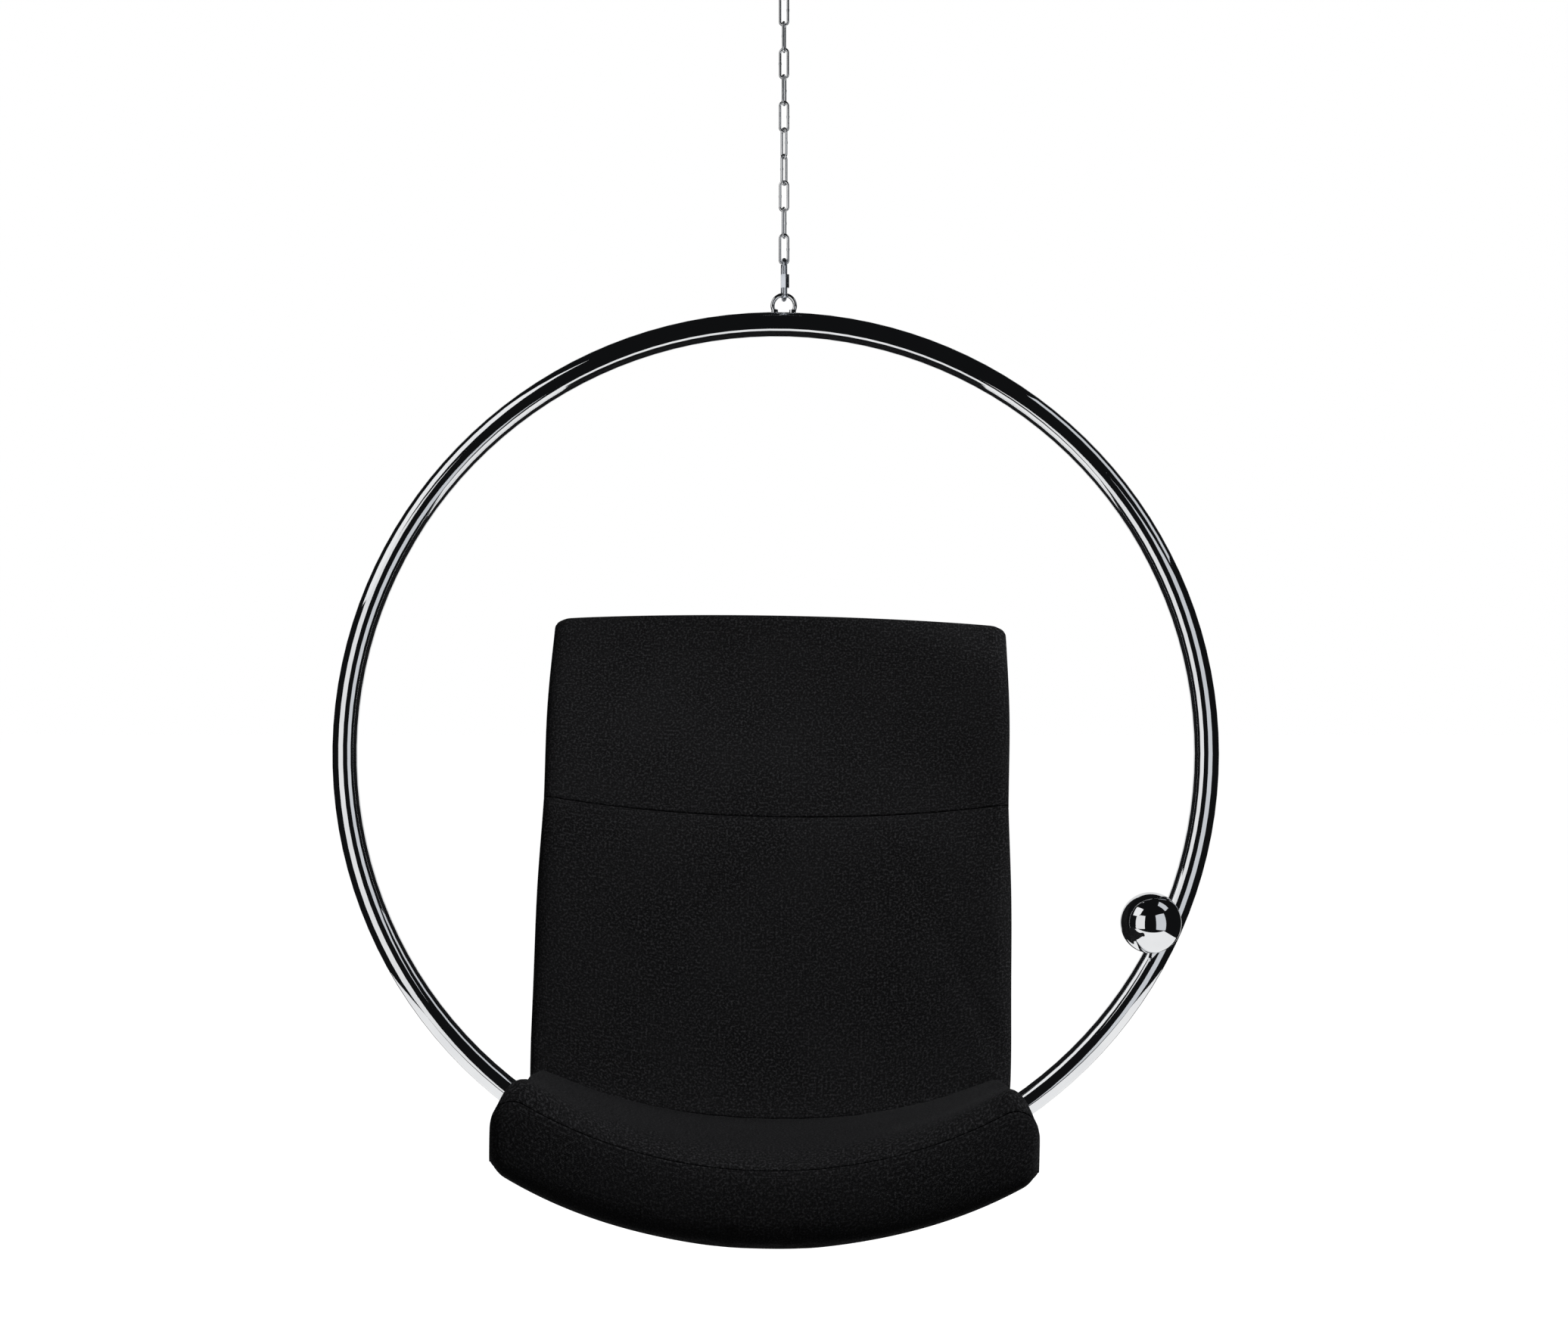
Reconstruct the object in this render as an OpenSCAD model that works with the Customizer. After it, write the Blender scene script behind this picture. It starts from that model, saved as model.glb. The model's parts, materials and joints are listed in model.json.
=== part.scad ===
// Hanging ring lounge swing: a tubular ring on a short chain carries an upholstered
// scoop seat. Origin at the ceiling face of the top plate, +Z up, +X to the sitter's
// left, -Y the way the sitter looks. The swing hangs at its natural rest angle.

/* [Ring] */
// Outer diameter of the ring
ring_od = 1130; // [940:10:1360]
// Diameter of the ring's tube
tube_d = 32; // [27:1:40]
// Wall of the ring's tube
tube_wall = 2; // [1.5:0.5:3]

/* [Rest attitude] */
// How far the ring's foot hangs forward of its head, in degrees
hang_pitch = 6.5; // [0:0.5:10]
// How far the ball side hangs low, in degrees
hang_roll = 1.05; // [0:0.05:3]
// How far the swing has turned on its swivel, in degrees
hang_yaw = -0.6; // [-10:0.1:10]

/* [Ring eye] */
// Outer diameter of the eye that is welded on the ring
eye_od = 34.5; // [30:0.5:42]
// Bar of the ring's eye
eye_bar_d = 5.5; // [5:0.5:7]
// Height of the eye's centre above the tube
eye_rise = 8.7; // [7:0.1:12]
// Diameter of the weld collar at each foot of the eye
collar_d = 9; // [8:0.5:11]
// Height of the weld collar above the tube
collar_h = 3; // [2:0.5:5]

/* [Chain] */
// Wire of a chain link
link_wire = 3.5; // [3:0.1:3.9]
// Outside width of a chain link
link_w = 14; // [13.8:0.1:17]
// Pitch of the chain
link_pitch = 34.5; // [30:0.5:42]
// Diameter of the butt weld on a link's leg
link_weld_d = 4.1; // [4:0.1:4.5]
// Length of the butt weld on a link's leg
link_weld_l = 3; // [2:0.5:5]
// Slack between two linked bars
link_slack = 0.2; // [0.1:0.05:0.4]
// Heading of each link's plane about the vertical, top link first
link_headings = [78, 348, 258, 164, 73, 7, 302, 237, 165, 73, 5];

/* [Quick links] */
// Bar of a quick link
quick_bar = 6; // [5:0.5:7]
// Outside length of a quick link
quick_len = 57; // [50:1:68]
// Outside width of a quick link
quick_w = 25; // [24:1:30]
// Opening in a quick link's leg
quick_gap = 8; // [6:0.5:9]
// Drop of the opening's middle below the link's middle
quick_gap_drop = 6; // [5:0.5:7]
// Heading of the upper quick link's plane about the vertical
upper_heading = 168; // [160:1:176]
// Heading of the lower quick link's plane about the vertical
lower_heading = 98; // [85:1:105]
// Hexagon of the screw sleeve, across flats
sleeve_af = 10; // [9:0.5:12]
// Length of the screw sleeve
sleeve_len = 17.5; // [15:0.5:20]
// Drop of the closed sleeve's middle below the link's middle
sleeve_drop = 3.2; // [2:0.1:5]
// Radial clearance of a running fit
run_fit = 0.05; // [0.03:0.01:0.1]

/* [Ceiling fitting] */
// Diameter of the ceiling plate
plate_d = 100; // [90:5:140]
// Thickness of the ceiling plate
plate_t = 6; // [4:0.5:10]
// Circle of the ceiling screws
screw_circle = 76; // [70:1:100]
// Diameter of a ceiling screw's hole
screw_d = 6.5; // [5:0.5:9]
// Number of ceiling screws
screw_count = 4; // [3:1:6]
// Outer diameter of the swivel housing
housing_d = 46; // [42:1:56]
// Height of the swivel housing
housing_h = 30; // [28:1:40]
// Wall of the swivel housing
housing_wall = 4; // [3:0.5:5]
// Thickness of the housing's floor
floor_t = 5; // [4:0.5:8]
// Diameter of the swivel's stem
stem_d = 12; // [10:0.5:14]
// Wall of the swivel's bush
bush_wall = 2.5; // [1.5:0.5:4]
// Flange of the bush beyond its barrel
bush_flange = 4; // [2:0.5:5]
// Thickness of the bush's flange and of the thrust washer
washer_t = 2; // [1.5:0.5:3]
// Hexagon of the swivel nut, across flats
nut_af = 19; // [17:1:22]
// Height of the swivel nut
nut_h = 10; // [8:1:12]
// Stem above the swivel nut
stem_top = 2; // [1:0.5:3]
// Bar of the swivel's eye
swivel_bar = 8; // [7:0.5:10]
// Outer diameter of the swivel's eye
swivel_od = 36; // [34:1:44]
// Heading of the swivel eye's plane about the vertical
swivel_heading = 78; // [70:1:86]
// Height of the swivel's shoulder below the housing
shoulder_h = 4; // [3:0.5:6]

/* [Ball] */
// Diameter of the ball
ball_d = 76; // [60:1:90]
// Wall of the ball
ball_wall = 4.4; // [2:0.1:12]
// Angle of the ball below the ring's middle, in degrees
ball_angle = 24.6; // [10:0.1:40]
// Turn of the ball's stud from inward towards the front, in degrees
ball_turn = 59; // [30:1:75]
// Length of the neck between tube and ball
neck_len = 3; // [2:0.5:8]
// Diameter of the neck
neck_d = 14; // [12:1:18]
// Diameter of the stud
stud_d = 8; // [6:0.5:10]
// Length of the stud inside the ball's wall
stud_in = 8; // [4:1:12]

/* [Seat] */
// Width of the seat
seat_w = 634; // [530:2:700]
// Thickness of the shell
shell_t = 12; // [9:0.5:15]
// Thickness of the cloth cover behind the back
cover_t = 3; // [2:0.5:5]
// Margin between the cover's edge and the shell's edge
cover_margin = 12; // [6:1:25]
// Radius of the pads' side edges
pad_round = 13; // [8:1:18]
// Gap between two pads at a seam
seam_gap = 0.6; // [0.4:0.1:1.5]
// Gap between the pads and the shell
pad_gap = 0.3; // [0.2:0.1:0.5]

/* [Seat fasteners] */
// Thickness of a saddle between tube and shell
saddle_t = 3; // [2:0.5:6]
// Width of a saddle across the tube
saddle_w = 38; // [34:1:50]
// Length of a saddle along the tube
saddle_len = 50; // [36:1:70]
// Depth to which a saddle cups the tube
saddle_cup = 9; // [5:1:12]
// Diameter of a seat bolt
bolt_d = 8; // [6:1:10]
// Hexagon of a seat bolt's head, across flats
bolt_af = 13; // [12:1:17]
// Height of a seat bolt's head
bolt_head = 5.3; // [4:0.1:7]
// Diameter of the shaped washer under a bolt's head
shim_d = 20; // [18:1:24]
// Thickness of the shaped washer at its middle
shim_t = 2.5; // [1.5:0.5:4]
// Depth to which a shaped washer cups the tube
shim_cup = 3; // [1:0.5:5]
// Flange diameter of a tee nut
tee_d = 22; // [18:1:26]
// Flange thickness of a tee nut
tee_t = 1.5; // [1:0.1:2]
// Barrel diameter of a tee nut
tee_barrel_d = 11; // [10.5:0.5:13]
// Angles of the seat bolts from the ring's foot, in degrees
bolt_angles = [-29, -11, 11, 29];

/* [Hidden] */
$fn = 96;
eps = 0.01;
// How far a cutter runs past the face that it enters
cut = 2;
axial_play = 0.1;
chrome = [0.78, 0.79, 0.80];
zinc = [0.62, 0.65, 0.69];
bronze = [0.66, 0.50, 0.28];
black_cloth = [0.09, 0.09, 0.10];
black_shell = [0.13, 0.13, 0.14];
black_rubber = [0.18, 0.18, 0.18];

// Ring, measured from its centre
ring_r = (ring_od - tube_d) / 2;
inner_r = ring_r - tube_d / 2;
outer_r = ring_r + tube_d / 2;
eye_r = (eye_od - eye_bar_d) / 2;
eye_up = outer_r + eye_rise;
pivot_up = eye_up + eye_r;

// Ceiling fitting, from the ceiling down
housing_z = -plate_t - housing_h;
flange_z = housing_z + floor_t;
washer_z = flange_z + washer_t;
nut_z = washer_z + washer_t + axial_play;
stem_z = nut_z + nut_h + stem_top;
swivel_r = (swivel_od - swivel_bar) / 2;
shoulder_z = housing_z - axial_play;
swivel_z = shoulder_z - shoulder_h - swivel_od / 2 + swivel_bar / 4;

// Chain and quick links: centres of the end bars, from the ceiling down
quick_span = quick_len - quick_bar;
quick_arc = (quick_w - quick_bar) / 2;
link_span = link_pitch + link_wire + link_slack;
link_arc = (link_w - link_wire) / 2;
link_count = len(link_headings);
upper_top = swivel_z - swivel_r + (swivel_bar + quick_bar) / 2 + link_slack;
first_top = upper_top - quick_span + (quick_bar + link_wire) / 2 + link_slack;
last_top = first_top - (link_count - 1) * link_pitch;
lower_top = last_top - link_span + (link_wire + quick_bar) / 2 + link_slack;
pivot_z = lower_top - quick_span + (quick_bar + eye_bar_d) / 2 + link_slack;

// Seat: the shell's underside is concentric with the ring where it crosses it
seat_r = inner_r - saddle_t;
half_w = seat_w / 2;

// Seat fasteners, along a bolt from the ring's centre: the tee nut's flange lies below the
// shell's face by tee_sink, its barrel is shorter than the shell, and the bolt ends inside it
tee_sink = 0.6;
tee_short = 2;
bolt_inset = 1;
tee_z = seat_r - shell_t + tee_sink;
bolt_z = seat_r - shell_t + tee_t + bolt_inset;
ring_sag = seat_r - sqrt(seat_r * seat_r - half_w * half_w);

// Side view of the seat, from the foot of the front lip to the head. Depth and height are
// from the point where the shell's underside meets the saddles. Each row holds the depth and
// height of the padding's face, the depth and height of the shell's face, the forward lean of
// the side edges, the rise of the padding's and of the shell's side edges as shares of
// ring_sag, how far the shoulders droop beside that rise, and how much each side is narrower.
seat_rows = [
  [-238, -73, -254, -64, 0, 0.79, 0.79, 0, 0],
  [-262, -72, -254, -59, 0, 0.79, 0.79, 0, 0],
  [-275, -60, -254, -50, 0, 0.79, 0.79, 0, 0],
  [-279, -15, -254, -18, 0, 0.82, 0.82, 10, 0],
  [-277, 18, -250, 2, 0, 0.86, 0.85, 32, 1],
  [-263, 31, -238, 13, 0, 0.97, 0.92, 60, 1],
  [-236, 34, -216, 15, 0, 0.97, 0.91, 55, 2],
  [-170, 38, -170, 14, 0, 0.85, 0.89, 18, 10],
  [-105, 42, -105, 13, 0, 0.80, 0.93, 12, 17],
  [-45, 45, -45, 12, 0, 0.77, 1, 0, 18],
  [0, 46, 0, 12, 0, 0.76, 1, 0, 18],
  [45, 47, 45, 12, 0, 0.75, 1, 0, 18],
  [95, 49, 110, 16, -2, 0.66, 0.84, 0, 12],
  [137, 53, 162, 30, -6, 0.53, 0.62, 0, 3],
  [155, 90, 194, 76, -12, 0.48, 0.50, 0, 0],
  [172, 170, 214, 164, -20, 0.40, 0.40, 0, 0],
  [194, 310, 236, 304, -27, 0.30, 0.30, 0, 0],
  [218, 452, 260, 445, -30, 0.20, 0.20, 0, 3],
  [262, 600, 300, 588, -27, 0.06, 0.06, 0, 0],
  [309, 722, 344, 708, -21, -0.10, -0.10, 0, 1],
  [317, 741, 349, 722, -20, -0.12, -0.12, 0, 2]
];
front_seam = 4;
back_seam = 13;
head_seam = 17;
last_row = len(seat_rows) - 1;
shoulder_w = 40;
// Share of the side edge's radius at which its middle column stands
soft_column = 0.3;
row_steps = 2;
column_steps = 14;

// Cubic through four neighbouring values, from the second to the third
function through(a, b, c, d, t) =
  b + t * (c - a) / 2
  + t * t * (a - 2.5 * b + 2 * c - d / 2)
  + t * t * t * (1.5 * (b - c) + (d - a) / 2);
function row_at(i) = seat_rows[max(0, min(last_row, i))];
function seat_row(s) =
  let (i = min(floor(s), last_row - 1), t = s - i)
  [for (k = [0:8]) through(row_at(i - 1)[k], row_at(i)[k], row_at(i + 1)[k], row_at(i + 2)[k], t)];

// Unit normal of the shell's face, pointing out of its underside
function shell_normal(s) =
  let (
    a = seat_row(max(0, s - 0.1)),
    b = seat_row(min(last_row, s + 0.1)),
    run = [b[2] - a[2], b[3] - a[3]]
  )
  [run[1], -run[0]] / norm(run);

// Rise of the transverse arc at x, at a depth below the shell's face, as a share of ring_sag.
// The arcs share the ring's centre, so that the shell is as thick beside as in the middle.
function arc_share(x, depth = 0) =
  let (r = seat_r - shell_t + depth)
  (r - sqrt(r * r - x * x)) / ring_sag;
function edge_drop(x, r) =
  let (over = max(0, abs(x) - (half_w - r)))
  r - sqrt(max(0, r * r - over * over));
function droop(x) = pow(max(0, abs(x) - (half_w - shoulder_w)) / shoulder_w, 2);

// Point on the padding's face, pad_round rounding its side edges towards the shell
function pad_point(s, x) =
  let (
    row = seat_row(s),
    side = x * (1 - row[8] / half_w),
    rise = arc_share(side) * row[5] * ring_sag - droop(x) * row[7],
    depth = norm([row[2] - row[0], row[3] - row[1]]),
    share = min(0.8, edge_drop(x, pad_round) / depth)
  )
  [
    side,
    row[0] + (row[2] - row[0]) * share + arc_share(side) * row[4],
    row[1] + (row[3] - row[1]) * share + rise
  ];
// Point at a depth below the shell's face
function shell_point(s, x, depth) =
  let (
    row = seat_row(s),
    out = shell_normal(s),
    side = x * (1 - row[8] / half_w),
    share = arc_share(side, depth)
  )
  [
    side,
    row[2] + out[0] * depth + share * row[4],
    row[3] + out[1] * depth + share * row[6] * ring_sag - droop(x) * row[7]
  ];
function stations(s0, s1) =
  let (n = ceil((s1 - s0) * row_steps))
  [for (i = [0:n]) s0 + (s1 - s0) * i / n];
// Columns shared by pads, shell and cover, and past them the edge columns of one of them
side_columns = [half_w - 0.75 * shoulder_w, half_w - 0.5 * shoulder_w, half_w - pad_round];
function columns(edges) =
  let (right = concat([for (x = side_columns) if (x < edges[0] - 1) x], edges))
  concat(
    [for (i = [len(right) - 1:-1:0]) -right[i]],
    [for (i = [0:column_steps]) (half_w - shoulder_w) * (2 * i / column_steps - 1)],
    right
  );

// Closed solid between two grids of points with the same rows and columns
module loft(upper, lower) {
  rows = len(upper);
  cols = len(upper[0]);
  size = rows * cols;
  points = concat([for (row = upper) each row], [for (row = lower) each row]);
  faces = concat(
    [for (i = [0:rows - 2], j = [0:cols - 2]) each [
      [i * cols + j, (i + 1) * cols + j + 1, (i + 1) * cols + j],
      [i * cols + j, i * cols + j + 1, (i + 1) * cols + j + 1],
      [size + i * cols + j, size + (i + 1) * cols + j, size + (i + 1) * cols + j + 1],
      [size + i * cols + j, size + (i + 1) * cols + j + 1, size + i * cols + j + 1]
    ]],
    [for (i = [0:rows - 2], j = [0, cols - 1]) each
      let (a = i * cols + j, b = a + cols)
      j == 0
        ? [[a, b, size + b], [a, size + b, size + a]]
        : [[a, size + b, b], [a, size + a, size + b]]
    ],
    [for (i = [0, rows - 1], j = [0:cols - 2]) each
      let (a = i * cols + j, b = a + 1)
      i == 0
        ? [[a, size + b, b], [a, size + a, size + b]]
        : [[a, b, size + b], [a, size + b, size + a]]
    ]
  );
  polyhedron(points, faces);
}

// Places children, drawn about the ring's centre, at the swing's rest attitude
module on_swing() {
  translate([0, 0, pivot_z])
    rotate([-hang_pitch, hang_roll, hang_yaw])
      translate([0, 0, -pivot_up])
        children();
}
// Places children at the seat's datum on the ring
module on_seat() {
  on_swing() translate([0, 0, -seat_r]) children();
}
// Turns children to a heading, their flat side first facing the sitter's front
module facing(heading, z) {
  translate([0, 0, z]) rotate([0, 0, heading]) children();
}
// Turns children so that their +Z points out of the ring at an angle from its foot
module at_bolt(angle) {
  on_swing() rotate([0, -angle, 0]) rotate([180, 0, 0]) children();
}
module at_bolts() {
  for (angle = bolt_angles) at_bolt(angle) children();
}
// Places children on the ball's stud, +Z from the tube's centre to the ball
module at_ball() {
  on_swing()
    rotate([0, ball_angle, 0])
      translate([ring_r, 0, 0])
        rotate([0, 0, ball_turn - 180])
          rotate([0, 90, 0])
            children();
}
// Round bar bent to a circle about Y
module bar_circle(r, bar) {
  rotate([90, 0, 0]) rotate_extrude() translate([r, 0]) circle(d = bar);
}
module bar_arc(r, bar, from) {
  rotate([90, 0, 0])
    rotate([0, 0, from])
      rotate_extrude(angle = 180)
        translate([r, 0])
          circle(d = bar);
}
// Long link in the XZ plane, its top bar's centre at the origin
module long_link(span, arc, bar) {
  translate([0, 0, -arc]) bar_arc(arc, bar, 0);
  translate([0, 0, arc - span]) bar_arc(arc, bar, 180);
  for (side = [-1, 1])
    translate([side * arc, 0, arc - span])
      cylinder(h = span - 2 * arc, d = bar);
}
module hexagon(af, h) {
  cylinder(h = h, d = af / cos(30), $fn = 6);
}
module torus_solid(r, bar) {
  rotate([90, 0, 0]) rotate_extrude($fn = 180) translate([r, 0]) circle(d = bar);
}

// Ceiling fitting
module ceiling_plate() {
  color(chrome)
    difference() {
      translate([0, 0, -plate_t]) cylinder(h = plate_t, d = plate_d);
      for (i = [0:screw_count - 1])
        rotate([0, 0, 45 + i * 360 / screw_count])
          translate([screw_circle / 2, 0, -plate_t - cut])
            cylinder(h = plate_t + 2 * cut, d = screw_d);
    }
}
module swivel_housing() {
  color(chrome)
    difference() {
      translate([0, 0, housing_z]) cylinder(h = housing_h, d = housing_d);
      translate([0, 0, flange_z])
        cylinder(h = housing_h, d = housing_d - 2 * housing_wall);
      translate([0, 0, housing_z - cut])
        cylinder(h = floor_t + 2 * cut, d = stem_d + 2 * (bush_wall + run_fit));
    }
}
module swivel_bush() {
  color(bronze)
    difference() {
      union() {
        translate([0, 0, housing_z]) cylinder(h = floor_t + washer_t, d = stem_d + 2 * bush_wall);
        translate([0, 0, flange_z])
          cylinder(h = washer_t, d = stem_d + 2 * (bush_wall + bush_flange));
      }
      translate([0, 0, housing_z - cut])
        cylinder(h = floor_t + washer_t + 2 * cut, d = stem_d + 2 * run_fit);
    }
}
module thrust_washer() {
  color(zinc)
    difference() {
      translate([0, 0, washer_z])
        cylinder(h = washer_t, d = stem_d + 2 * (bush_wall + bush_flange));
      translate([0, 0, washer_z - cut]) cylinder(h = washer_t + 2 * cut, d = stem_d + 2 * run_fit);
    }
}
module swivel_nut() {
  color(zinc)
    difference() {
      translate([0, 0, nut_z]) hexagon(nut_af, nut_h);
      translate([0, 0, nut_z - cut]) cylinder(h = nut_h + 2 * cut, d = stem_d + 2 * run_fit);
    }
}
module swivel_eye() {
  color(chrome) {
    translate([0, 0, shoulder_z - eps]) cylinder(h = stem_z - shoulder_z + eps, d = stem_d);
    translate([0, 0, shoulder_z - shoulder_h])
      cylinder(h = shoulder_h, d = stem_d + 2 * bush_wall);
    facing(swivel_heading, swivel_z) bar_circle(swivel_r, swivel_bar);
  }
}

// Quick links and their screw sleeves
module quick_link(heading, top) {
  color(zinc)
    facing(heading, top)
      difference() {
        long_link(quick_span, quick_arc, quick_bar);
        translate([-quick_arc, 0, -quick_span / 2 - quick_gap_drop - quick_gap / 2])
          cylinder(h = quick_gap, d = quick_bar + 1);
      }
}
module quick_sleeve(heading, top) {
  color(zinc)
    facing(heading, top)
      translate([-quick_arc, 0, -quick_span / 2 - sleeve_drop - sleeve_len / 2])
        difference() {
          hexagon(sleeve_af, sleeve_len);
          translate([0, 0, -cut]) cylinder(h = sleeve_len + 2 * cut, d = quick_bar + 2 * run_fit);
        }
}
module upper_quick_link() { quick_link(upper_heading, upper_top); }
module upper_sleeve() { quick_sleeve(upper_heading, upper_top); }
module lower_quick_link() { quick_link(lower_heading, lower_top); }
module lower_sleeve() { quick_sleeve(lower_heading, lower_top); }

// Chain link number i, counted from the top
module chain_link(i) {
  color(chrome)
    facing(link_headings[i - 1], first_top - (i - 1) * link_pitch) {
      long_link(link_span, link_arc, link_wire);
      translate([link_arc, 0, -(link_span + link_weld_l) / 2])
        cylinder(h = link_weld_l, d = link_weld_d);
    }
}

// Ring with its eye
module ring_eye() {
  color(chrome)
    on_swing()
      difference() {
        union() {
          translate([0, 0, eye_up]) bar_circle(eye_r, eye_bar_d);
          for (side = [-1, 1])
            translate([side * sqrt(eye_r * eye_r - eye_rise * eye_rise), 0, ring_r])
              cylinder(h = tube_d / 2 + collar_h, d = collar_d);
        }
        torus_solid(ring_r, tube_d);
      }
}
module ring_tube() {
  color(chrome)
    difference() {
      on_swing()
        rotate([90, 0, 0])
          rotate_extrude($fn = 180)
            translate([ring_r, 0])
              difference() {
                circle(d = tube_d);
                circle(d = tube_d - 2 * tube_wall);
              }
      at_bolts()
        translate([0, 0, inner_r - cut]) cylinder(h = tube_d + 2 * cut, d = bolt_d + 2 * run_fit);
      at_ball() cylinder(h = tube_d / 2 + cut, d = stud_d + 2 * run_fit);
    }
}

// Ball and its stud
ball_z = tube_d / 2 + neck_len + ball_d / 2;
module ball_stud() {
  color(chrome) {
    difference() {
      at_ball() cylinder(h = ball_z - ball_d / 2 + cut, d = neck_d);
      on_swing() torus_solid(ring_r, tube_d);
      at_ball() translate([0, 0, ball_z]) sphere(d = ball_d);
    }
    at_ball() cylinder(h = tube_d / 2 + neck_len + stud_in, d = stud_d);
  }
}
module grip_ball() {
  color(chrome)
    at_ball()
      difference() {
        translate([0, 0, ball_z]) sphere(d = ball_d);
        translate([0, 0, ball_z]) sphere(d = ball_d - 2 * ball_wall);
        translate([0, 0, ball_z - ball_d / 2 - cut])
          cylinder(h = ball_wall + 2 * cut, d = stud_d + 2 * run_fit);
      }
}

// Fasteners between ring and seat shell
module seat_saddles() {
  span = saddle_len / seat_r * 180 / PI;
  color(black_rubber)
    for (angle = bolt_angles)
      difference() {
        on_swing()
          rotate([90, 0, 0])
            rotate([0, 0, angle - 90 - span / 2])
              rotate_extrude(angle = span)
                difference() {
                  translate([seat_r + pad_gap, -saddle_w / 2])
                    square([saddle_t - pad_gap + saddle_cup, saddle_w]);
                  translate([ring_r, 0]) circle(d = tube_d + 2 * run_fit);
                }
        at_bolt(angle)
          translate([0, 0, seat_r - cut])
            cylinder(h = saddle_t + saddle_cup, d = bolt_d + 2 * run_fit);
      }
}
module shaped_washers() {
  color(zinc)
    at_bolts()
      difference() {
        translate([0, 0, outer_r - shim_cup]) cylinder(h = shim_cup + shim_t, d = shim_d);
        translate([-shim_d, 0, ring_r]) rotate([0, 90, 0]) cylinder(h = 2 * shim_d, d = tube_d);
        translate([0, 0, outer_r - shim_cup - cut])
          cylinder(h = shim_cup + shim_t + 2 * cut, d = bolt_d + 2 * run_fit);
      }
}
module seat_bolts() {
  color(zinc)
    at_bolts() {
      translate([0, 0, bolt_z]) cylinder(h = outer_r + shim_t - bolt_z + eps, d = bolt_d);
      translate([0, 0, outer_r + shim_t]) hexagon(bolt_af, bolt_head);
    }
}
module tee_nuts() {
  color(zinc)
    at_bolts()
      difference() {
        union() {
          translate([0, 0, tee_z]) cylinder(h = tee_t, d = tee_d);
          translate([0, 0, tee_z]) cylinder(h = shell_t - tee_short, d = tee_barrel_d);
        }
        translate([0, 0, seat_r - shell_t]) cylinder(h = shell_t + cut, d = bolt_d + 2 * run_fit);
      }
}

// Seat shell, the cloth behind its back, and the pads
module seat_shell() {
  color(black_shell)
    difference() {
      on_seat() {
        rows = stations(0, last_row);
        across = columns([half_w - pad_round]);
        loft(
          [for (s = rows) [for (x = across) shell_point(s, x, 0)]],
          [for (s = rows) [for (x = across) shell_point(s, x, shell_t)]]
        );
      }
      at_bolts() {
        translate([0, 0, seat_r - shell_t - cut])
          cylinder(h = cut + tee_sink + tee_t, d = tee_d + 2 * run_fit);
        translate([0, 0, seat_r - shell_t])
          cylinder(h = shell_t + cut, d = tee_barrel_d + 2 * run_fit);
      }
    }
}
module back_cover() {
  rows = stations(back_seam + 1, last_row - 1);
  across = columns([half_w - pad_round - cover_margin]);
  color(black_cloth)
    on_seat()
      loft(
        [for (s = rows) [for (x = across) shell_point(s, x, shell_t + pad_gap)]],
        [for (s = rows) [for (x = across) shell_point(s, x, shell_t + pad_gap + cover_t)]]
      );
}
module pad(s0, s1) {
  rows = stations(s0, s1);
  across = columns([half_w - soft_column * pad_round, half_w]);
  color(black_cloth)
    on_seat()
      loft(
        [for (s = rows) [for (x = across) pad_point(s, x)]],
        [for (s = rows) [for (x = across) shell_point(s, x, -pad_gap)]]
      );
}
// Half the gap at a seam, as a share of the step to the row beside it
function seam_share(i, side) =
  seam_gap / 2 / norm([row_at(i + side)[0] - row_at(i)[0], row_at(i + side)[1] - row_at(i)[1]]);
module front_pad() { pad(0, front_seam - seam_share(front_seam, -1)); }
module seat_pad() {
  pad(front_seam + seam_share(front_seam, 1), back_seam - seam_share(back_seam, -1));
}
module back_pad() {
  pad(back_seam + seam_share(back_seam, 1), head_seam - seam_share(head_seam, -1));
}
module head_pad() { pad(head_seam + seam_share(head_seam, 1), last_row); }

ceiling_plate();
swivel_housing();
swivel_bush();
thrust_washer();
swivel_nut();
swivel_eye();
upper_quick_link();
upper_sleeve();
chain_link(1);  // chain_link_01
chain_link(2);  // chain_link_02
chain_link(3);  // chain_link_03
chain_link(4);  // chain_link_04
chain_link(5);  // chain_link_05
chain_link(6);  // chain_link_06
chain_link(7);  // chain_link_07
chain_link(8);  // chain_link_08
chain_link(9);  // chain_link_09
chain_link(10);  // chain_link_10
chain_link(11);  // chain_link_11
lower_quick_link();
lower_sleeve();
ring_eye();
ring_tube();
ball_stud();
grip_ball();
seat_saddles();
shaped_washers();
seat_bolts();
tee_nuts();
seat_shell();
back_cover();
front_pad();
seat_pad();
back_pad();
head_pad();
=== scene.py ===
"""Looks of the hanging ring seat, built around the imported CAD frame. Metres, in the row frame."""

import json
import math

import bmesh
import bpy
import numpy as np
from mathutils import Euler, Matrix, Vector


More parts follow.
